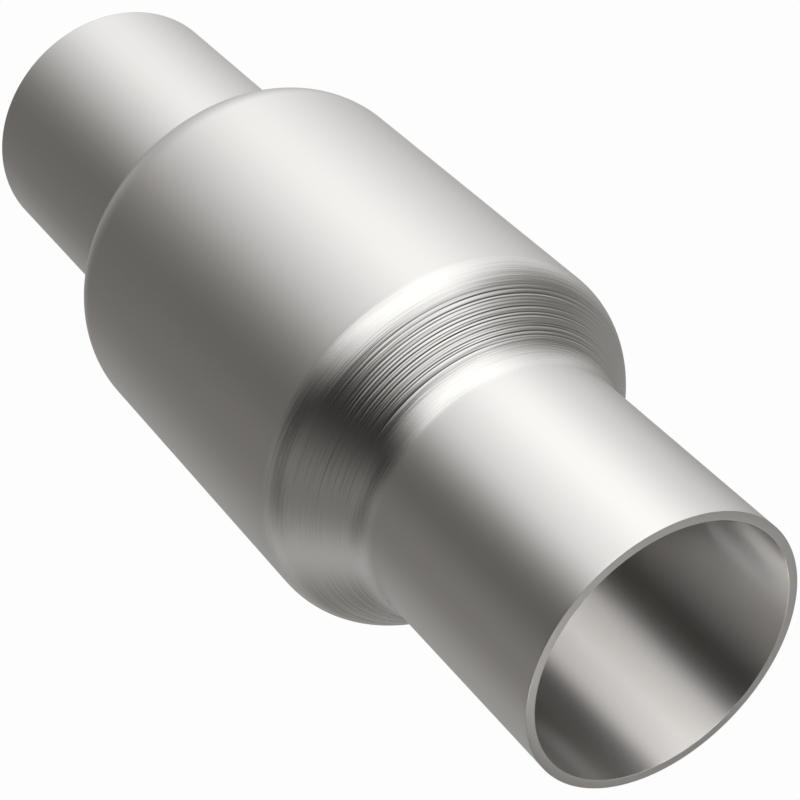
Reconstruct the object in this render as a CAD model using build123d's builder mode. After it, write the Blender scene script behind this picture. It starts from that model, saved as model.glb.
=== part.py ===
from build123d import *
import math
import os

# Round-body catalytic converter for welding into an exhaust pipe, in millimetres.
# It stands on its lower neck: the axis is Z and the lower rim lies at z = 0.

# Necks: bare pipe ends for 63.5 mm (2.5 in) exhaust, measured to the corner where their line meets the cone.
neck_outer_diameter = 63.5
neck_wall = 2.0
upper_neck_length = 58.7
lower_neck_length = 60.6

# Honeycomb brick: square channels inside a solid skin.
substrate_diameter = 76.2
substrate_length = 76.2
substrate_skin = 0.9
cell_pitch = 5.1
cell_wall = 0.8

# Mat around the brick, in one strip whose ends meet in a tongue and a groove.
mat_thickness = 4.45
mat_clearance = 0.3
mat_seam_gap = 1.2
mat_tongue_width = 24
mat_tongue_depth = 16

# Knitted wire rings over the mat's edges.
seal_height = 5
seal_to_mat_gap = 0.3

# Body: the tube around brick and mat, with room past the brick's ends up to the corners of the cones.
body_wall = 1.5
body_end_room = 6.75

# Shoulders: cone angles from the axis, and the radii of their bends on the outside.
# Inside, the bend from cone to body is one narrow slope, cut back this far from its corner.
upper_cone_angle = 40
lower_cone_angle = 46
neck_bend_radius = 9.5
upper_body_bend_radius = 11.1
lower_body_bend_radius = 11.9
inner_bend_cut = 2.8

# Radii, from the brick outwards.
substrate_radius = substrate_diameter / 2
mat_inner_radius = substrate_radius + mat_clearance
mat_outer_radius = mat_inner_radius + mat_thickness
can_radius = mat_outer_radius + mat_clearance
body_radius = can_radius + body_wall
neck_radius = neck_outer_diameter / 2
bore_radius = neck_radius - neck_wall
cone_wall = (neck_wall + body_wall) / 2

# Heights, from the lower rim upwards.
upper_cone_height = (body_radius - neck_radius) / math.tan(math.radians(upper_cone_angle))
lower_cone_height = (body_radius - neck_radius) / math.tan(math.radians(lower_cone_angle))
lower_neck_z = lower_neck_length
lower_body_z = lower_neck_z + lower_cone_height
substrate_z = lower_body_z + body_end_room
middle_z = substrate_z + substrate_length / 2
upper_body_z = substrate_z + substrate_length + body_end_room
upper_neck_z = upper_body_z + upper_cone_height
top_z = upper_neck_z + upper_neck_length
mat_length = substrate_length - 2 * (seal_height + seal_to_mat_gap)


def inner_shift(angle, wall):
    """Axial distance, towards the body, from an outer corner of a cone to the inner corner behind it."""
    slope = math.radians(angle)
    return (cone_wall / math.cos(slope) - wall) / math.tan(slope)


# The shell: one seamless tube, spun down to a neck at each end.
with BuildPart() as shell:
    with BuildSketch(Plane.XZ):
        with BuildLine():
            outside = FilletPolyline(
                (neck_radius, 0),
                (neck_radius, lower_neck_z),
                (body_radius, lower_body_z),
                (body_radius, upper_body_z),
                (neck_radius, upper_neck_z),
                (neck_radius, top_z),
                radius=[neck_bend_radius, lower_body_bend_radius, upper_body_bend_radius, neck_bend_radius],
            )
            inside = Polyline(
                (bore_radius, 0),
                (bore_radius, lower_neck_z + inner_shift(lower_cone_angle, neck_wall)),
                (can_radius, lower_body_z + inner_shift(lower_cone_angle, body_wall)),
                (can_radius, upper_body_z - inner_shift(upper_cone_angle, body_wall)),
                (bore_radius, upper_neck_z - inner_shift(upper_cone_angle, neck_wall)),
                (bore_radius, top_z),
            )
            Line(outside @ 0, inside @ 0)
            Line(outside @ 1, inside @ 1)
        make_face()
    revolve(axis=Axis.Z)
    circles = shell.edges().filter_by(GeomType.CIRCLE)
    can_corners = circles.filter_by(lambda circle: math.isclose(circle.radius, can_radius, abs_tol=0.01))
    chamfer(can_corners, length=inner_bend_cut)

# The brick: a grid of square channels, each wholly inside the skin.
channel_size = cell_pitch - cell_wall
channel_reach = substrate_radius - substrate_skin
half_count = int(channel_reach / cell_pitch)
channel_centres = []
for column in range(-half_count, half_count + 1):
    for row in range(-half_count, half_count + 1):
        far_x = abs(column) * cell_pitch + channel_size / 2
        far_y = abs(row) * cell_pitch + channel_size / 2
        if math.hypot(far_x, far_y) <= channel_reach:
            channel_centres.append((column * cell_pitch, row * cell_pitch))

with BuildPart() as catalyst_substrate:
    with BuildSketch(Plane.XY.offset(substrate_z)):
        Circle(substrate_radius)
        with Locations(*channel_centres):
            Rectangle(channel_size, channel_size, mode=Mode.SUBTRACT)
    extrude(amount=substrate_length)

# The mat: a sleeve around the brick, slit along the stepped seam of its tongue.
with BuildPart() as support_mat:
    with BuildSketch(Plane.XY.offset(middle_z - mat_length / 2)):
        Circle(mat_outer_radius)
        Circle(mat_inner_radius, mode=Mode.SUBTRACT)
    extrude(amount=mat_length)
    with BuildSketch(Plane.XZ.offset(mat_inner_radius / 2)):
        with BuildLine():
            seam = Polyline(
                (-mat_tongue_depth / 2, middle_z - mat_length),
                (-mat_tongue_depth / 2, middle_z - mat_tongue_width / 2),
                (mat_tongue_depth / 2, middle_z - mat_tongue_width / 2),
                (mat_tongue_depth / 2, middle_z + mat_tongue_width / 2),
                (-mat_tongue_depth / 2, middle_z + mat_tongue_width / 2),
                (-mat_tongue_depth / 2, middle_z + mat_length),
            )
        trace(seam, line_width=mat_seam_gap)
    extrude(amount=mat_outer_radius, mode=Mode.SUBTRACT)


# The edge seals: wire rings that fill the space between brick and shell above and below the mat.
def edge_seal(start_z):
    """A ring around the brick's edge, from start_z upwards."""
    with BuildPart() as ring:
        with BuildSketch(Plane.XY.offset(start_z)):
            Circle(mat_outer_radius)
            Circle(mat_inner_radius, mode=Mode.SUBTRACT)
        extrude(amount=seal_height)
    return ring


upper_edge_seal = edge_seal(substrate_z + substrate_length - seal_height)
lower_edge_seal = edge_seal(substrate_z)

shell.part.label = "shell"
catalyst_substrate.part.label = "catalyst_substrate"
support_mat.part.label = "support_mat"
upper_edge_seal.part.label = "upper_edge_seal"
lower_edge_seal.part.label = "lower_edge_seal"

os.makedirs("parts", exist_ok=True)
export_step(shell.part, "parts/shell.step")
export_step(catalyst_substrate.part, "parts/catalyst_substrate.step")
export_step(support_mat.part, "parts/support_mat.step")
export_step(upper_edge_seal.part, "parts/upper_edge_seal.step")
export_step(lower_edge_seal.part, "parts/lower_edge_seal.step")
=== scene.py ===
import math

import bmesh
import bpy
from mathutils import Matrix, Vector


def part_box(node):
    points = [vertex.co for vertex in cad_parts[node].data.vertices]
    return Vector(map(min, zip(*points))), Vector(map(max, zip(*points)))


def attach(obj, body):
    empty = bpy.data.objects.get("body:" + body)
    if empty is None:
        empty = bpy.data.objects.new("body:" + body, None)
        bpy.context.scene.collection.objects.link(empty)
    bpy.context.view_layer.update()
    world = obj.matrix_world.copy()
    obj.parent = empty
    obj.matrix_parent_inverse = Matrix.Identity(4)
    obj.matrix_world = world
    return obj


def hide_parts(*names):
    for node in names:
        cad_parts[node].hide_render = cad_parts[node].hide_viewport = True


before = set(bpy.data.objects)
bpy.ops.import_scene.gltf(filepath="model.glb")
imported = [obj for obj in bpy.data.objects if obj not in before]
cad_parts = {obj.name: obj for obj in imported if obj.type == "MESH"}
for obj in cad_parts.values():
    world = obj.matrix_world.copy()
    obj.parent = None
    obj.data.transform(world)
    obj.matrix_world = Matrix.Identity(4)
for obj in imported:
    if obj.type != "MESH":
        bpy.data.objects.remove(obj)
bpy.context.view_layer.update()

bl_info = {
    "name": "Spun Catalytic Converter",
    "version": (1, 0, 0),
    "blender": (4, 5, 0),
    "location": "View3D > Sidebar > Converter",
    "description": "Builds the looks of a spun round-body catalytic converter on its CAD frame",
    "category": "Add Mesh",
}

MM = 0.001
MERGE = 1e-6  # points closer than this, in metres, become one
ROOM = 0.3 * MM  # free room between the brick and what wraps it
_, SHELL_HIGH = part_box("shell")
BRICK_LOW, BRICK_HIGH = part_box("catalyst_substrate")
MAT_LOW, MAT_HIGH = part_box("support_mat")
UPPER_SEAL_LOW, UPPER_SEAL_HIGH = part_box("upper_edge_seal")
LOWER_SEAL_LOW, LOWER_SEAL_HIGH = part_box("lower_edge_seal")

# Grooves that the spinning roller left on the upper cone, from the body towards the neck: how far up
# the cone's slope from the body's corner each lies and how deep a light pass presses it, both in
# millimetres, and the bearing in degrees, from the front towards the left, where it is deepest. Each
# fades away a quarter turn from there and comes back behind.
ROLLER_GROOVES = (
    (3.05, 0.016, 44),
    (3.65, 0.020, 34),
    (4.42, 0.030, 19),
    (5.34, 0.040, 39),
    (6.44, 0.045, 49),
    (7.07, 0.034, 24),
    (7.80, 0.018, 14),
    (8.49, 0.044, 9),
    (9.23, 0.054, 39),
    (9.93, 0.046, 4),
    (10.49, 0.048, 49),
    (11.15, 0.056, 29),
    (11.80, 0.024, 19),
    (12.50, 0.046, 14),
    (12.96, 0.030, 54),
    (13.49, 0.046, 54),
    (14.05, 0.034, 4),
    (14.55, 0.050, 44),
    (15.37, 0.038, 64),
    (15.90, 0.044, 4),
)
# The groove's section: a short steep side towards the body and a longer one towards the neck, in
# millimetres along the slope and as a share of the depth. It runs out to nothing a little further on.
GROOVE_SECTION = ((-0.18, 0.0), (-0.06, 0.25), (0.04, 0.72), (0.12, 1.0), (0.24, 0.72), (0.38, 0.2))
RUN_OUT = 0.3
# The part of the cone's slope that can carry grooves, from the body's corner, in millimetres.
GROOVED_SLOPE = 20
# Vertices deeper in the wall than this, in metres, belong to its inside and stay smooth.
SKIN_DEPTH = 1.2 * MM


def linear(code):
    """The linear colour of an sRGB hex code, with a full alpha."""
    parts = [int(code[i : i + 2], 16) / 255 for i in (0, 2, 4)]
    return (*(c / 12.92 if c <= 0.04045 else ((c + 0.055) / 1.055) ** 2.4 for c in parts), 1.0)


def length(name, default, description):
    """A length as a setting of a piece."""
    return bpy.props.FloatProperty(
        name=name,
        description=description,
        default=default,
        min=0,
        precision=5,
        unit="LENGTH",
        subtype="DISTANCE",
    )


def colour(name, code, description):
    """A colour as a setting of a piece."""
    return bpy.props.FloatVectorProperty(
        name=name, description=description, default=linear(code), size=4, min=0, max=1, subtype="COLOR"
    )


def add_node(tree, kind, sockets=None, **settings):
    """Adds a node, sets its settings, and gives each named or numbered input a value or a link."""
    made = tree.nodes.new(kind)
    for name, value in settings.items():
        setattr(made, name, value)
    for key, value in (sockets or {}).items():
        if isinstance(value, bpy.types.NodeSocket):
            tree.links.new(value, made.inputs[key])
        else:
            made.inputs[key].default_value = value
    return made


def fresh_material(name):
    """An empty node material, and its tree."""
    material = bpy.data.materials.new(name)
    material.use_nodes = True
    material.node_tree.nodes.clear()
    return material, material.node_tree


def keep_piece(bm, name, materials, replaced, smooth=True):
    """Makes a finished bmesh an object that rides on the root body and stands for its CAD node."""
    mesh = bpy.data.meshes.new(name)
    bm.to_mesh(mesh)
    bm.free()
    piece = bpy.data.objects.new(name, mesh)
    bpy.context.scene.collection.objects.link(piece)
    for material in materials:
        mesh.materials.append(material)
    mesh.polygons.foreach_set("use_smooth", [smooth] * len(mesh.polygons))
    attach(piece, "root")
    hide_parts(replaced)
    return piece


def draw_outline(bm, corners, hold=0.4 * MM):
    """Draws a profile in the plane of radius and height. Each corner is (radius, height, bend radius,
    steps of the bend). The first and last corners are plain ends. Next to each bend a second point holds
    the straight run's shading."""
    pen = bm.verts.new((corners[0][0], 0, corners[0][1]))
    for before, corner, after in zip(corners, corners[1:], corners[2:]):
        point = Vector((corner[0], 0, corner[1]))
        arriving = (point - Vector((before[0], 0, before[1]))).normalized()
        leaving = (Vector((after[0], 0, after[1])) - point).normalized()
        bend, steps = corner[2], corner[3]
        if not bend:
            pen = draw_to(bm, pen, point)
            continue
        turn = math.atan2(arriving.x * leaving.z - arriving.z * leaving.x, arriving.dot(leaving))
        reach = bend * math.tan(abs(turn) / 2)
        start = point - arriving * reach
        if (start - pen.co).length > 3 * hold:
            pen = draw_to(bm, pen, start - arriving * hold)
        pen = draw_to(bm, pen, start)
        side = Vector((-arriving.z, 0, arriving.x)) * math.copysign(bend, turn)
        swept = bmesh.ops.spin(
            bm,
            geom=[pen],
            cent=start + side,
            axis=(0, -1, 0),
            angle=turn,
            steps=steps,
            use_duplicate=False,
        )
        pen = next(part for part in swept["geom_last"] if isinstance(part, bmesh.types.BMVert))
        if (Vector((after[0], 0, after[1])) - pen.co).length > 3 * hold + after[2]:
            pen = draw_to(bm, pen, pen.co + leaving * hold)
    return draw_to(bm, pen, Vector((corners[-1][0], 0, corners[-1][1])))


def draw_to(bm, pen, point):
    """Draws one straight run from the pen to a point."""
    if (point - pen.co).length < MERGE / 10:
        return pen
    made = bmesh.ops.extrude_vert_indiv(bm, verts=[pen])["verts"][0]
    made.co = point
    return made


def spin_profile(bm, steps):
    """Turns the drawn profile once around the axis, merges its seam and points its faces outwards."""
    bmesh.ops.spin(
        bm,
        geom=bm.verts[:] + bm.edges[:],
        cent=(0, 0, 0),
        axis=(0, 0, 1),
        angle=math.tau,
        steps=steps,
        use_merge=True,
    )
    bmesh.ops.remove_doubles(bm, verts=bm.verts[:], dist=MERGE)
    bmesh.ops.recalc_face_normals(bm, faces=bm.faces[:])


def press_grooves(bm, corner, slope, outwards, strength):
    """Presses the roller's grooves into the outside of the upper cone, each fading in and out around it."""
    for vert in bm.verts:
        spot = Vector((vert.co.xy.length, vert.co.z)) - corner
        along = spot.dot(slope) / MM
        if abs(spot.dot(outwards)) > SKIN_DEPTH or not 0 < along < GROOVED_SLOPE:
            continue
        bearing = math.degrees(math.atan2(-vert.co.x, -vert.co.y))
        pressed = 0.0
        for place, depth, deepest in ROLLER_GROOVES:
            at = along - place
            if GROOVE_SECTION[0][0] < at < GROOVE_SECTION[-1][0] + RUN_OUT:
                fade = math.cos(math.radians(bearing - deepest)) ** 4
                # The roller shook a little, nine times in each turn, and never twice at the same bearing.
                fade *= 0.85 + 0.15 * math.cos(math.radians(9 * bearing + 140 * place))
                pressed += depth * section_share(at) * fade
        inwards = -outwards * pressed * strength * MM
        around = vert.co.xy.normalized()
        vert.co += Vector((around.x * inwards.x, around.y * inwards.x, inwards.y))


def section_share(at):
    """How much of a groove's depth is pressed at a place across its section."""
    ends = (*GROOVE_SECTION, (GROOVE_SECTION[-1][0] + RUN_OUT, 0.0))
    for (start, low), (stop, high) in zip(ends, ends[1:]):
        if start <= at <= stop:
            return low + (high - low) * (at - start) / (stop - start)
    return 0.0


class ShellSettings(bpy.types.PropertyGroup):
    neck_radius: length("Neck radius", 31.75 * MM, "Outside radius of both necks")
    bore_radius: length("Bore radius", 29.75 * MM, "Inside radius of both necks")
    body_radius: length("Body radius", SHELL_HIGH.x, "Outside radius of the body")
    can_radius: length("Can radius", 43.15 * MM, "Inside radius of the body")
    lower_neck_corner: length("Lower neck corner", 60.6 * MM, "Height where the lower neck meets its cone")
    lower_body_corner: length("Lower body corner", 73.057 * MM, "Height where the lower cone meets the body")
    upper_body_corner: length("Upper body corner", 162.757 * MM, "Height where the body meets the upper cone")
    upper_neck_corner: length("Upper neck corner", 178.131 * MM, "Height where the upper cone meets its neck")
    neck_bend: length("Neck bend", 9.5 * MM, "Outside radius of the bends at the necks")
    upper_body_bend: length("Upper body bend", 11.1 * MM, "Outside radius of the upper bend at the body")
    lower_body_bend: length("Lower body bend", 11.9 * MM, "Outside radius of the lower bend at the body")
    rim_softness: length("Rim softness", 0.05 * MM, "Radius of the deburred edges of both rims")
    groove_depth: bpy.props.FloatProperty(
        name="Groove depth",
        description="How deep the roller's grooves are, against those of a light pass",
        default=2,
        min=0,
        max=3,
    )
    steps: bpy.props.IntProperty(
        name="Steps", description="Steps of the spin around the axis", default=360, min=24, max=400
    )
    steel: colour("Steel", "cfcdcb", "Colour of the satin steel")
    bore_steel: colour("Bore steel", "a9a7a5", "Colour of the steel inside")
    cut_steel: colour("Cut steel", "b7b5b3", "Colour of the rims' cut faces")


class BrickSettings(bpy.types.PropertyGroup):
    cell_pitch: length("Cell pitch", 1.27 * MM, "From channel to channel: 400 cells to the square inch")
    cell_wall: length("Cell wall", 0.2 * MM, "Thickness of the coated walls between channels")
    skin: length("Skin", 0.6 * MM, "Thickness of the solid skin around the channels")
    ceramic: colour("Ceramic", "a8957c", "Colour of the washcoat on the ceramic")


class MatSettings(bpy.types.PropertyGroup):
    seam_gap: length("Seam gap", 1.2 * MM, "Gap between the ends of the strip")
    tongue_width: length("Tongue width", 24 * MM, "Height of the tongue")
    tongue_depth: length("Tongue depth", 16 * MM, "How far the tongue reaches into its groove")
    fibre: colour("Fibre", "d9cfb8", "Colour of the fibre mat")


class SealSettings(bpy.types.PropertyGroup):
    wire: length("Wire", 0.28 * MM, "Diameter of the knitted wire")
    rows: bpy.props.IntProperty(
        name="Rows", description="Rings of knitted wire on the seal's face", default=3, min=1, max=8
    )
    loops: bpy.props.IntProperty(
        name="Loops", description="Loops of wire around one ring", default=110, min=12, max=300
    )
    steel: colour("Wire steel", "a7a49f", "Colour of the wire")


class StudioSettings(bpy.types.PropertyGroup):
    floor_radius: length("Floor radius", 2.2, "Radius of the level part of the paper sweep")
    paper: colour("Paper", "fdfdfd", "Colour of the paper sweep")
    light: bpy.props.FloatProperty(
        name="Light", description="Strength of all soft lights together", default=1, min=0, max=10
    )
    lens: bpy.props.FloatProperty(
        name="Lens",
        description="Focal length of the camera",
        default=106.606,
        min=10,
        subtype="DISTANCE_CAMERA",
    )


# Heights in metres over which the roller's marks on the upper cone set in, and over which they end.
MARKS_BEGIN = (0.1580, 0.1605)
MARKS_END = (0.1795, 0.1825)


def satin_stainless(name, base, roughness, mark_depth, brushed=0.0):
    """Ferritic stainless steel, spun from tube and left satin: a soft grey mirror with fine rings of tool
    marks. Brushed above 0, its scratches run around the axis and draw every highlight out along it."""
    material, tree = fresh_material(name)
    place = add_node(tree, "ShaderNodeTexCoord").outputs["Object"]
    # The rolled sheet's broad clouding, 30 mm wide and barely seen. Inputs 6 and 7 of a mix node, and its
    # output 2, are colours.
    cloud = add_node(tree, "ShaderNodeTexNoise", {"Vector": place, "Scale": 32.0, "Detail": 2.0})
    tint = add_node(
        tree,
        "ShaderNodeMix",
        {
            "Factor": cloud.outputs["Fac"],
            6: [part * share for part, share in zip(base, (1.0, 0.975, 0.965, 1.0))],
            7: [part * share for part, share in zip(base, (0.99, 1.0, 0.99, 1.0))],
        },
        data_type="RGBA",
    )
    # Streaks of the tool, 0.5 mm apart and some 25 mm long, along the circles of the spin. Off the cone
    # they are a fiftieth as deep.
    streak_place = add_node(tree, "ShaderNodeMapping", {"Vector": place, "Scale": (40.0, 40.0, 2000.0)})
    streak = add_node(
        tree,
        "ShaderNodeTexNoise",
        {"Vector": streak_place.outputs["Vector"], "Scale": 1.0, "Detail": 3.0, "Roughness": 0.6},
    )
    height = add_node(tree, "ShaderNodeSeparateXYZ", {"Vector": place}).outputs["Z"]
    rise, fall = (
        add_node(
            tree,
            "ShaderNodeMapRange",
            {"Value": height, "From Min": low, "From Max": high, "To Min": 1.0 - last, "To Max": last},
            interpolation_type="SMOOTHSTEP",
        ).outputs["Result"]
        for (low, high), last in ((MARKS_BEGIN, 1.0), (MARKS_END, 0.0))
    )
    on_cone = add_node(tree, "ShaderNodeMath", {0: rise, 1: fall}, operation="MULTIPLY").outputs["Value"]
    depth = add_node(tree, "ShaderNodeMath", {0: on_cone, 1: mark_depth, 2: 0.02}, operation="MULTIPLY_ADD")
    lift = add_node(
        tree, "ShaderNodeMath", {0: streak.outputs["Fac"], 1: depth.outputs["Value"]}, operation="MULTIPLY"
    )
    bump = add_node(
        tree, "ShaderNodeBump", {"Height": lift.outputs["Value"], "Distance": 0.00009, "Strength": 1.0}
    )
    gloss = add_node(
        tree,
        "ShaderNodeMapRange",
        {"Value": cloud.outputs["Fac"], "To Min": roughness - 0.02, "To Max": roughness + 0.02},
    )
    # The roller burnished the cone, so it shines more.
    rubbed = add_node(
        tree,
        "ShaderNodeMath",
        {0: on_cone, 1: -0.09 * mark_depth, 2: gloss.outputs["Result"]},
        operation="MULTIPLY_ADD",
    )
    surface = add_node(
        tree,
        "ShaderNodeBsdfPrincipled",
        {
            "Base Color": tint.outputs[2],
            "Metallic": 1.0,
            "Roughness": rubbed.outputs["Value"],
            "Normal": bump.outputs["Normal"],
        },
    )
    if brushed:
        surface.inputs["Anisotropic"].default_value = brushed
        around = add_node(tree, "ShaderNodeTangent", direction_type="RADIAL", axis="Z")
        tree.links.new(around.outputs["Tangent"], surface.inputs["Tangent"])
        surface.inputs["Anisotropic Rotation"].default_value = 0.25
    add_node(tree, "ShaderNodeOutputMaterial", {"Surface": surface.outputs["BSDF"]})
    return material


class CONVERTER_OT_shell(bpy.types.Operator):
    """Spin the seamless steel shell, with the roller's grooves on its upper cone"""

    bl_idname = "converter.shell"
    bl_label = "Shell"

    def execute(self, context):
        size = context.scene.converter_shell
        top, soft = SHELL_HIGH.z, size.rim_softness
        wall = size.neck_radius - size.bore_radius
        can_wall = size.body_radius - size.can_radius
        rise = size.upper_neck_corner - size.upper_body_corner
        slope = Vector((size.neck_radius - size.body_radius, rise)).normalized()
        outwards = Vector((slope.y, -slope.x))
        corners = [
            (size.bore_radius + soft, 0, 0, 0),
            (size.neck_radius, 0, soft, 3),
            (size.neck_radius, size.lower_neck_corner, size.neck_bend, 12),
            (size.body_radius, size.lower_body_corner, size.lower_body_bend, 14),
            (size.body_radius, size.upper_body_corner, size.upper_body_bend, 16),
        ]
        # The straight part of the cone, between the two bends, takes a row of points for every step of
        # every groove's section. Rows that fall together become one.
        corner = Vector((size.body_radius, size.upper_body_corner))
        bend_reach = 0.364  # tangent of half the cone's angle
        cone_start = size.upper_body_bend * bend_reach
        cone_end = rise / slope.y - size.neck_bend * bend_reach
        rows = sorted(place * MM + along * MM for place, _, _ in ROLLER_GROOVES for along, _ in GROOVE_SECTION)
        spots = []
        for row in rows:
            if cone_start < row < cone_end and (not spots or row - spots[-1] > 0.05 * MM):
                spots.append(row)
        corners += [(*(corner + slope * spot), 0, 0) for spot in spots]
        # The inside's corners lie this much nearer to the middle, so that the wall keeps its thickness.
        inner_lift = 0.45 * MM
        corners += [
            (size.neck_radius, size.upper_neck_corner, size.neck_bend, 16),
            (size.neck_radius, top, soft, 3),
            (size.bore_radius, top, soft, 3),
            (size.bore_radius, size.upper_neck_corner - inner_lift, size.neck_bend + wall, 10),
            (size.can_radius, size.upper_body_corner - inner_lift, size.upper_body_bend - can_wall, 10),
            (size.can_radius, size.lower_body_corner + inner_lift, size.lower_body_bend - can_wall, 10),
            (size.bore_radius, size.lower_neck_corner + inner_lift, size.neck_bend + wall, 10),
            (size.bore_radius, 0, soft, 3),
            (size.bore_radius + soft, 0, 0, 0),
        ]
        bm = bmesh.new()
        draw_outline(bm, corners)
        bmesh.ops.remove_doubles(bm, verts=bm.verts[:], dist=MERGE)
        spin_profile(bm, size.steps)
        press_grooves(bm, corner, slope, outwards, size.groove_depth)
        bmesh.ops.recalc_face_normals(bm, faces=bm.faces[:])
        for face in bm.faces:
            middle = face.calc_center_median()
            if not 2 * soft < middle.z < top - 2 * soft:
                face.material_index = 2
            elif face.normal.x * middle.x + face.normal.y * middle.y < 0:
                face.material_index = 1
        keep_piece(
            bm,
            "spun_shell",
            [
                # Outside: cold-rolled tube with the gloss of the spinning roller.
                satin_stainless("satin_spun_stainless_steel", size.steel, 0.30, 1.0),
                # Inside: brushed around the axis where the tool's support ran.
                satin_stainless("brushed_stainless_bore", size.bore_steel, 0.5, 0.0, brushed=1.0),
                # The necks' ends: cut with a saw and deburred, so they are the dullest.
                satin_stainless("saw_cut_stainless_rim", size.cut_steel, 0.45, 0.0),
            ],
            "shell",
        )
        return {"FINISHED"}


class CONVERTER_OT_brick(bpy.types.Operator):
    """Build the coated honeycomb brick with its square channels open from end to end"""

    bl_idname = "converter.brick"
    bl_label = "Honeycomb Brick"

    def execute(self, context):
        size = context.scene.converter_brick
        radius, tall = BRICK_HIGH.x, BRICK_HIGH.z - BRICK_LOW.z
        cells = 2 * math.ceil(radius / size.cell_pitch)
        bm = bmesh.new()
        bmesh.ops.create_grid(
            bm,
            x_segments=cells,
            y_segments=cells,
            size=cells * size.cell_pitch / 2,
            matrix=Matrix.Translation((0, 0, BRICK_HIGH.z)),
        )
        # Trim the sheet of cells to the inside of the skin.
        sides, slack = 96, 0.02 * MM
        for side in range(sides):
            outwards = Vector((math.cos(math.tau * side / sides), math.sin(math.tau * side / sides), 0))
            bmesh.ops.bisect_plane(
                bm,
                geom=bm.verts[:] + bm.edges[:] + bm.faces[:],
                plane_co=outwards * (radius - size.skin),
                plane_no=outwards,
                clear_outer=True,
            )
        # Cut cells with less than a quarter left stay closed, as part of the skin.
        openings = [face for face in bm.faces if face.calc_area() > 0.25 * size.cell_pitch**2]
        bmesh.ops.inset_individual(
            bm, faces=openings, thickness=size.cell_wall / 2, depth=0, use_even_offset=True
        )
        bmesh.ops.delete(bm, geom=openings, context="FACES_ONLY")
        edge_of_cells = radius - size.skin - slack
        rim = [
            edge
            for edge in bm.edges
            if edge.is_boundary and all(vert.co.xy.length > edge_of_cells for vert in edge.verts)
        ]
        grown = bmesh.ops.extrude_edge_only(bm, edges=rim)["geom"]
        for vert in (part for part in grown if isinstance(part, bmesh.types.BMVert)):
            vert.co.xy = vert.co.xy.normalized() * (radius - slack)
        bmesh.ops.recalc_face_normals(bm, faces=bm.faces[:])
        pulled = bmesh.ops.extrude_face_region(bm, geom=bm.faces[:], use_keep_orig=True)["geom"]
        lower_end = [part for part in pulled if isinstance(part, bmesh.types.BMVert)]
        bmesh.ops.translate(bm, verts=lower_end, vec=(0, 0, -tall))
        bmesh.ops.recalc_face_normals(bm, faces=bm.faces[:])
        # Extruded cordierite, soaked with washcoat: matt, with broad darker patches 17 mm wide. Its grain
        # is 0.3 mm, drawn coarser than the real pores.
        material, tree = fresh_material("washcoated_cordierite")
        place = add_node(tree, "ShaderNodeTexCoord").outputs["Object"]
        patch = add_node(tree, "ShaderNodeTexNoise", {"Vector": place, "Scale": 60.0, "Detail": 3.0})
        grain = add_node(tree, "ShaderNodeTexNoise", {"Vector": place, "Scale": 3000.0, "Detail": 2.0})
        ramp = add_node(tree, "ShaderNodeValToRGB", {"Fac": patch.outputs["Fac"]})
        for stop, position, shade in zip(ramp.color_ramp.elements, (0.35, 0.65), (0.82, 1.0)):
            stop.position = position
            stop.color = [part * shade for part in size.ceramic[:3]] + [1]
        bump = add_node(
            tree, "ShaderNodeBump", {"Height": grain.outputs["Fac"], "Distance": 0.00003, "Strength": 0.8}
        )
        surface = add_node(
            tree,
            "ShaderNodeBsdfPrincipled",
            {"Base Color": ramp.outputs["Color"], "Roughness": 0.85, "Normal": bump.outputs["Normal"]},
        )
        add_node(tree, "ShaderNodeOutputMaterial", {"Surface": surface.outputs["BSDF"]})
        keep_piece(bm, "honeycomb_brick", [material], "catalyst_substrate", smooth=False)
        return {"FINISHED"}


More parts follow.
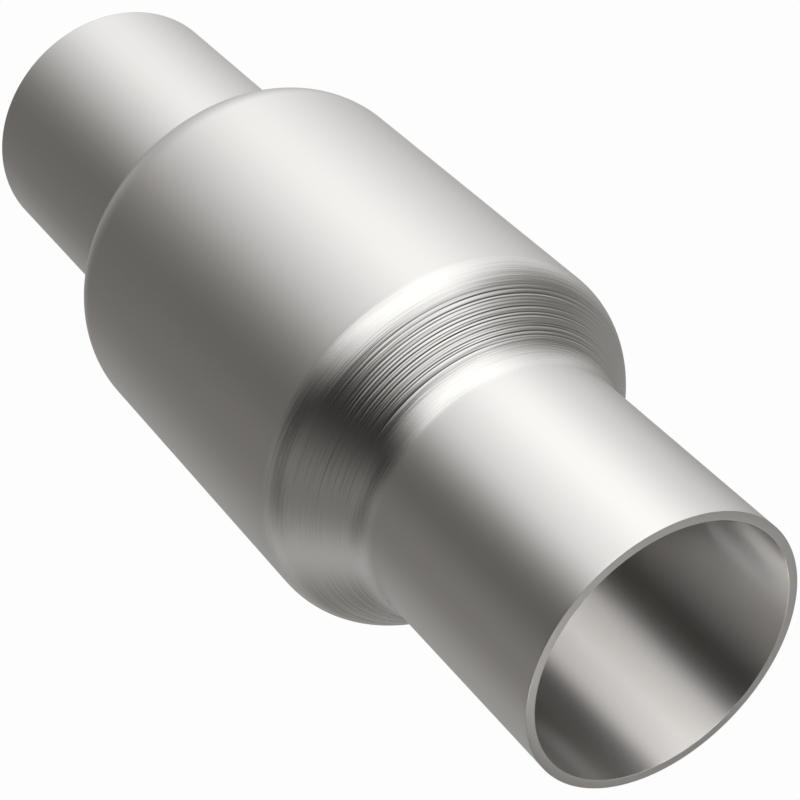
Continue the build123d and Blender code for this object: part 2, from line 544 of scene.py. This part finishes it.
class CONVERTER_OT_mat(bpy.types.Operator):
    """Wrap the fibre mat around the brick, with its tongue in its groove"""

    bl_idname = "converter.mat"
    bl_label = "Fibre Mat"

    def execute(self, context):
        size = context.scene.converter_mat
        outer = MAT_HIGH.x
        inner = BRICK_HIGH.x + ROOM
        middle = (outer + inner) / 2
        half_gap = size.seam_gap / 2
        low, high, centre = MAT_LOW.z, MAT_HIGH.z, (MAT_LOW.z + MAT_HIGH.z) / 2
        half = size.tongue_width / 2
        heights = (
            low,
            (low + centre - half) / 2,
            centre - half - half_gap,
            centre - half + half_gap,
            centre,
            centre + half - half_gap,
            centre + half + half_gap,
            (high + centre + half) / 2,
            high,
        )
        # One step of the spin is as wide as the seam's gap, so that the seam is cut by leaving faces out.
        steps = round(math.tau * middle / size.seam_gap)
        gap_angle = math.tau / steps
        reach = round(size.tongue_depth / 2 / middle / gap_angle) * gap_angle
        bm = bmesh.new()
        pen = bm.verts.new((0, -outer, heights[0]))
        for height in heights[1:]:
            pen = draw_to(bm, pen, Vector((0, -outer, height)))
        half_step = Matrix.Rotation(gap_angle / 2, 3, "Z")
        bmesh.ops.rotate(bm, verts=bm.verts[:], cent=(0, 0, 0), matrix=half_step)
        spin_profile(bm, steps)
        slit = []
        for face in bm.faces:
            spot = face.calc_center_median()
            angle = math.atan2(spot.x, -spot.y)
            over = abs(spot.z - centre)
            if over < half - half_gap:
                slit += [face] * (abs(angle - reach) < gap_angle / 2)
            elif over < half + half_gap:
                slit += [face] * (abs(angle) < reach + gap_angle / 2)
            else:
                slit += [face] * (abs(angle + reach) < gap_angle / 2)
        bmesh.ops.delete(bm, geom=slit, context="FACES")
        bmesh.ops.recalc_face_normals(bm, faces=bm.faces[:])
        if sum(face.normal.dot(face.calc_center_median().xy.to_3d()) for face in bm.faces) < 0:
            bmesh.ops.reverse_faces(bm, faces=bm.faces[:])
        bmesh.ops.solidify(bm, geom=bm.faces[:], thickness=outer - inner)
        bmesh.ops.recalc_face_normals(bm, faces=bm.faces[:])
        # The die-cut edges are a little soft. An angle above one radian is a cut edge.
        edges = [edge for edge in bm.edges if len(edge.link_faces) == 2 and edge.calc_face_angle(0) > 1.0]
        bmesh.ops.bevel(
            bm,
            geom=edges,
            offset=0.35 * MM,
            offset_type="OFFSET",
            affect="EDGES",
            segments=2,
            profile=0.5,
            material=-1,
        )
        # Felted alumina fibres: matt, with clouds 7 mm wide. The fibres are drawn 0.7 mm long and far
        # coarser than real ones, which are a few thousandths of a millimetre thick.
        material, tree = fresh_material("alumina_fibre_mat")
        place = add_node(tree, "ShaderNodeTexCoord").outputs["Object"]
        cloud = add_node(tree, "ShaderNodeTexNoise", {"Vector": place, "Scale": 150.0, "Detail": 2.0})
        fibres = add_node(
            tree,
            "ShaderNodeTexNoise",
            {"Vector": place, "Scale": 1400.0, "Detail": 4.0, "Roughness": 0.7, "Distortion": 1.5},
        )
        ramp = add_node(tree, "ShaderNodeValToRGB", {"Fac": cloud.outputs["Fac"]})
        for stop, position, shade in zip(ramp.color_ramp.elements, (0.3, 0.7), (0.8, 1.0)):
            stop.position = position
            stop.color = [part * shade for part in size.fibre[:3]] + [1]
        bump = add_node(
            tree, "ShaderNodeBump", {"Height": fibres.outputs["Fac"], "Distance": 0.0003, "Strength": 0.8}
        )
        surface = add_node(
            tree,
            "ShaderNodeBsdfPrincipled",
            {
                "Base Color": ramp.outputs["Color"],
                "Roughness": 0.95,
                "Sheen Weight": 0.3,
                "Normal": bump.outputs["Normal"],
            },
        )
        add_node(tree, "ShaderNodeOutputMaterial", {"Surface": surface.outputs["BSDF"]})
        keep_piece(bm, "fibre_mat", [material], "support_mat")
        return {"FINISHED"}


class CONVERTER_OT_seals(bpy.types.Operator):
    """Make the knitted wire seals that cover the mat's edges"""

    bl_idname = "converter.seals"
    bl_label = "Wire Seals"

    def execute(self, context):
        size = context.scene.converter_seals
        # Bright drawn stainless wire, dulled unevenly by the knitting and the press.
        material, tree = fresh_material("knitted_stainless_wire")
        place = add_node(tree, "ShaderNodeTexCoord").outputs["Object"]
        dull = add_node(tree, "ShaderNodeTexNoise", {"Vector": place, "Scale": 400.0, "Detail": 2.0})
        gloss = add_node(
            tree, "ShaderNodeMapRange", {"Value": dull.outputs["Fac"], "To Min": 0.35, "To Max": 0.5}
        )
        surface = add_node(
            tree,
            "ShaderNodeBsdfPrincipled",
            {"Base Color": size.steel[:], "Metallic": 1.0, "Roughness": gloss.outputs["Result"]},
        )
        add_node(tree, "ShaderNodeOutputMaterial", {"Surface": surface.outputs["BSDF"]})
        inner, outer = BRICK_HIGH.x + ROOM, UPPER_SEAL_HIGH.x
        for name, node, low, high, bare in (
            ("upper_wire_seal", "upper_edge_seal", UPPER_SEAL_LOW.z, UPPER_SEAL_HIGH.z, UPPER_SEAL_HIGH.z),
            ("lower_wire_seal", "lower_edge_seal", LOWER_SEAL_LOW.z, LOWER_SEAL_HIGH.z, LOWER_SEAL_LOW.z),
        ):
            bm = bmesh.new()
            # The pressed core, kept below the knit on the seal's bare face.
            inset, bend = size.wire * 1.2, 1.2 * MM
            draw_outline(
                bm,
                [
                    ((inner + outer) / 2, low + inset, 0, 0),
                    (outer - inset, low + inset, bend, 4),
                    (outer - inset, high - inset, bend, 4),
                    (inner + inset, high - inset, bend, 4),
                    (inner + inset, low + inset, bend, 4),
                    ((inner + outer) / 2, low + inset, 0, 0),
                ],
            )
            bmesh.ops.remove_doubles(bm, verts=bm.verts[:], dist=MERGE)
            spin_profile(bm, 180)
            knit = knitted_rings(size, (inner + outer) / 2, outer - inner, bare, 1 if bare == high else -1)
            bm.from_mesh(knit)
            bpy.data.meshes.remove(knit)
            keep_piece(bm, name, [material], node)
        return {"FINISHED"}


def knitted_rings(size, radius, width, face, outwards):
    """The rings of knitted wire on a seal's bare face: rows of loops, each row hooked into the next."""
    wire = bpy.data.curves.new("knit", "CURVE")
    wire.dimensions = "3D"
    wire.bevel_depth = size.wire / 2
    wire.bevel_resolution = 0
    wire.resolution_u = 1
    # Each loop swings wider than its row's share of the face, so that rows hook into each other, and
    # leans over sideways, as a knitted loop does.
    swing, lean = 0.62, 0.75
    points_per_loop = 9
    pitch = (width - 2.4 * size.wire) / size.rows
    for row in range(size.rows):
        middle = radius + (row - (size.rows - 1) / 2) * pitch
        ring = wire.splines.new("POLY")
        ring.points.add(points_per_loop * size.loops - 1)
        for at, point in enumerate(ring.points):
            turn = math.tau * at / points_per_loop
            sweep = (turn + lean * math.sin(2 * turn)) / size.loops
            reach = middle + pitch * swing * math.cos(turn)
            height = face - outwards * size.wire * (1.05 - 0.45 * math.cos(2 * turn + row))
            point.co = (reach * math.sin(sweep), -reach * math.cos(sweep), height, 1)
        ring.use_cyclic_u = True
    holder = bpy.data.objects.new("knit", wire)
    mesh = bpy.data.meshes.new_from_object(holder)
    bpy.data.objects.remove(holder)
    bpy.data.curves.remove(wire)
    return mesh


# The studio's soft lights, each a round glow far away: its bearing from the front towards the left and
# its height above the horizon, in degrees, then its spread in degrees and its strength. The bright ones
# stand low on the left.
SOFT_LIGHTS = (
    (-154.3, -30, 20, 0.232),
    (-120.0, -30, 20, 0.187),
    (-109.6, -15, 14, 0.350),
    (-109.6, 15, 14, 0.383),
    (-102.9, 30, 20, 0.181),
    (-68.6, -30, 14, 0.253),
    (-63.5, 45, 14, 0.072),
    (-62.6, 15, 14, 0.238),
    (0.0, -30, 8, 0.369),
    (0.0, 10, 8, 0.277),
    (12.0, -30, 8, 0.426),
    (12.0, 20, 8, 0.472),
    (15.0, 0, 14, 0.425),
    (15.7, -15, 14, 0.522),
    (30.0, 0, 20, 0.493),
    (34.3, 30, 14, 0.484),
    (47.0, 15, 20, 0.547),
    (51.4, -30, 20, 0.465),
    (60.0, 0, 20, 0.334),
    (60.0, 20, 8, 0.357),
    (63.5, -45, 30, 0.773),
    (68.6, -30, 30, 0.394),
    (120.0, -30, 14, 0.247),
    (150.0, -60, 30, 0.330),
    (156.5, 15, 20, 0.227),
    (171.4, 30, 20, 0.469),
)

# Snooted lamps around the upper mouth that light its bore and its rim: bearing and height in degrees as
# above, then watts.
SNOOTS = (
    (-156, 42, 0.2),
    (-148, 38, 1.0),
    (-141, 38, 2.2),
    (-134, 38, 0.8),
    (-128, 38, 0.2),
    (-122, 44, 0.9),
    (-121, 38, 0.3),
    (-114, 38, 0.9),
    (-106, 38, 0.5),
    (-98, 38, 0.4),
    (-90, 38, 0.5),
    (-80, 38, 0.4),
    (-74, 48, 0.5),
    (-64, 48, 0.2),
    (-54, 48, 0.4),
    (-44, 48, 0.2),
    (-4, 48, 0.2),
    (6, 48, 2.6),
    (16, 48, 2.4),
    (26, 48, 2.8),
    (36, 48, 3.2),
    (46, 48, 3.5),
    (56, 48, 2.4),
    (66, 48, 2.7),
    (76, 48, 3.0),
    (134, 38, 0.7),
    (143, 38, 0.3),
)
# One more shines straight down on the brick: watts and the radius of its beam in millimetres.
DOWNLIGHT_WATTS = 13.0
DOWNLIGHT_BEAM = 26
# How far the lamps hang from the mouth and the radius of their bulbs, in metres.
SNOOT_DISTANCE = 0.6
BULB_RADIUS = 0.004
# The radius of a snoot's beam at the mouth, and how far from the axis its near edge falls: just outside
# the rim. Both in millimetres.
SNOOT_BEAM = 38
NEAR_EDGE = 32

# Where the camera of the photograph stood, and its axes in the scene: to the right, up and backwards.
CAMERA_PLACE = (0, -0.37207, 0.49665)
CAMERA_AXES = (
    (-0.69193, 0.49917, 0.52162),
    (-0.72199, -0.47812, -0.50016),
    (-0.00027, -0.72267, 0.69120),
)


def bearing_vector(bearing, rise):
    """The direction with that bearing and height above the horizon."""
    b, e = math.radians(bearing), math.radians(rise)
    return Vector((-math.sin(b) * math.cos(e), -math.cos(b) * math.cos(e), math.sin(e)))


def aim_snoot(bearing, rise, watts, beam=SNOOT_BEAM):
    """Hangs one snooted lamp and aims it at the mouth. The near edge of a wide beam just clears the rim,
    so that it lights the bore and passes the outside by."""
    towards = bearing_vector(bearing, rise)
    lamp = bpy.data.lights.new("snoot", "SPOT")
    lamp.energy = watts
    lamp.shadow_soft_size = BULB_RADIUS
    lamp.spot_size = 2 * math.atan(beam * MM / SNOOT_DISTANCE)
    lamp.spot_blend = 0.05
    holder = bpy.data.objects.new("snoot", lamp)
    bpy.context.scene.collection.objects.link(holder)
    past = max(0, beam / math.sin(math.radians(rise)) - NEAR_EDGE) * MM
    aim = Vector((0, 0, SHELL_HIGH.z)) - Vector((towards.x, towards.y, 0)).normalized() * past
    turn = towards.to_track_quat("Z", "Y").to_matrix().to_4x4()
    holder.matrix_world = Matrix.Translation(aim + towards * SNOOT_DISTANCE) @ turn


class CONVERTER_OT_studio(bpy.types.Operator):
    """Lay the pale paper sweep, set the soft lights and stand the camera"""

    bl_idname = "converter.studio"
    bl_label = "Studio"

    def execute(self, context):
        size = context.scene.converter_studio
        bend, wall = 1.2, 3.5  # metres: the sweep's bend and the height it runs up to
        bm = bmesh.new()
        draw_outline(
            bm,
            [(0, 0, 0, 0), (size.floor_radius + bend, 0, bend, 16), (size.floor_radius + bend, wall, 0, 0)],
            hold=0.05,
        )
        spin_profile(bm, 96)
        if sum(face.normal.z for face in bm.faces) < 0:
            bmesh.ops.reverse_faces(bm, faces=bm.faces[:])
        mesh = bpy.data.meshes.new("paper_sweep")
        bm.to_mesh(mesh)
        bm.free()
        mesh.polygons.foreach_set("use_smooth", [True] * len(mesh.polygons))
        sweep = bpy.data.objects.new("paper_sweep", mesh)
        context.scene.collection.objects.link(sweep)
        # White seamless paper, lit so evenly that it shows no shade. It is kept out of the steel's
        # reflections, which come from the soft lights alone.
        material, tree = fresh_material("lit_seamless_paper")
        glow = add_node(tree, "ShaderNodeEmission", {"Color": size.paper[:], "Strength": 1.0})
        add_node(tree, "ShaderNodeOutputMaterial", {"Surface": glow.outputs["Emission"]})
        mesh.materials.append(material)
        sweep.visible_diffuse = sweep.visible_glossy = False
        sweep.visible_transmission = sweep.visible_shadow = False

        world = bpy.data.worlds.new("soft_lights")
        world.use_nodes = True
        tree = world.node_tree
        tree.nodes.clear()
        towards = add_node(tree, "ShaderNodeTexCoord").outputs["Generated"]
        total = 0.0
        for bearing, rise, spread, strength in SOFT_LIGHTS:
            sharpness = 1 / math.radians(spread) ** 2
            facing = add_node(
                tree,
                "ShaderNodeVectorMath",
                {0: towards, 1: bearing_vector(bearing, rise)},
                operation="DOT_PRODUCT",
            )
            falloff = add_node(
                tree,
                "ShaderNodeMath",
                {0: facing.outputs["Value"], 1: sharpness, 2: -sharpness},
                operation="MULTIPLY_ADD",
            )
            lobe = add_node(tree, "ShaderNodeMath", {0: falloff.outputs["Value"]}, operation="EXPONENT")
            total = add_node(
                tree,
                "ShaderNodeMath",
                {0: lobe.outputs["Value"], 1: strength, 2: total},
                operation="MULTIPLY_ADD",
            ).outputs["Value"]
        level = add_node(tree, "ShaderNodeMath", {0: total, 1: size.light}, operation="MULTIPLY")
        # The bright middles of the lights are neutral, the dim room around them a little warm.
        share = add_node(
            tree, "ShaderNodeMath", {0: level.outputs["Value"], 1: 1.25}, operation="MULTIPLY", use_clamp=True
        )
        warmth = add_node(
            tree,
            "ShaderNodeMix",
            {"Factor": share.outputs["Value"], 6: linear("fffbf6"), 7: linear("fdfeff")},
            data_type="RGBA",
        )
        sky = add_node(
            tree, "ShaderNodeBackground", {"Color": warmth.outputs[2], "Strength": level.outputs["Value"]}
        )
        add_node(tree, "ShaderNodeOutputWorld", {"Surface": sky.outputs["Background"]})
        context.scene.world = world
        for bearing, rise, watts in SNOOTS:
            aim_snoot(bearing, rise, watts)
        aim_snoot(0, 90, DOWNLIGHT_WATTS, DOWNLIGHT_BEAM)
        context.scene.view_settings.view_transform = "Standard"

        lens = bpy.data.cameras.new("camera")
        lens.sensor_width, lens.lens = 36, size.lens
        lens.clip_start, lens.clip_end = 0.01, 50
        camera = bpy.data.objects.new("camera", lens)
        context.scene.collection.objects.link(camera)
        turn = Matrix(CAMERA_AXES).transposed().to_4x4()
        camera.matrix_world = Matrix.Translation(CAMERA_PLACE) @ turn
        context.scene.camera = camera
        return {"FINISHED"}


class CONVERTER_PT_panel(bpy.types.Panel):
    """Lists the pieces of the converter and their sizes"""

    bl_idname = "CONVERTER_PT_panel"
    bl_label = "Catalytic Converter"
    bl_space_type = "VIEW_3D"
    bl_region_type = "UI"
    bl_category = "Converter"

    def draw(self, context):
        for operator, settings in STEPS:
            box = self.layout.box()
            box.operator(operator.bl_idname)
            group = getattr(context.scene, settings)
            for name in group.bl_rna.properties.keys():
                if name not in ("rna_type", "name"):
                    box.prop(group, name)


SETTINGS = {
    "converter_shell": ShellSettings,
    "converter_brick": BrickSettings,
    "converter_mat": MatSettings,
    "converter_seals": SealSettings,
    "converter_studio": StudioSettings,
}
STEPS = (
    (CONVERTER_OT_shell, "converter_shell"),
    (CONVERTER_OT_brick, "converter_brick"),
    (CONVERTER_OT_mat, "converter_mat"),
    (CONVERTER_OT_seals, "converter_seals"),
    (CONVERTER_OT_studio, "converter_studio"),
)
CLASSES = (*SETTINGS.values(), *(operator for operator, _ in STEPS), CONVERTER_PT_panel)


def register():
    for kind in CLASSES:
        bpy.utils.register_class(kind)
    for name, kind in SETTINGS.items():
        setattr(bpy.types.Scene, name, bpy.props.PointerProperty(type=kind))


def unregister():
    for name in SETTINGS:
        delattr(bpy.types.Scene, name)
    for kind in reversed(CLASSES):
        bpy.utils.unregister_class(kind)


def main():
    register()
    bpy.ops.converter.shell()
    bpy.ops.converter.brick()
    bpy.ops.converter.mat()
    bpy.ops.converter.seals()
    bpy.ops.converter.studio()


if __name__ == "__main__":
    main()
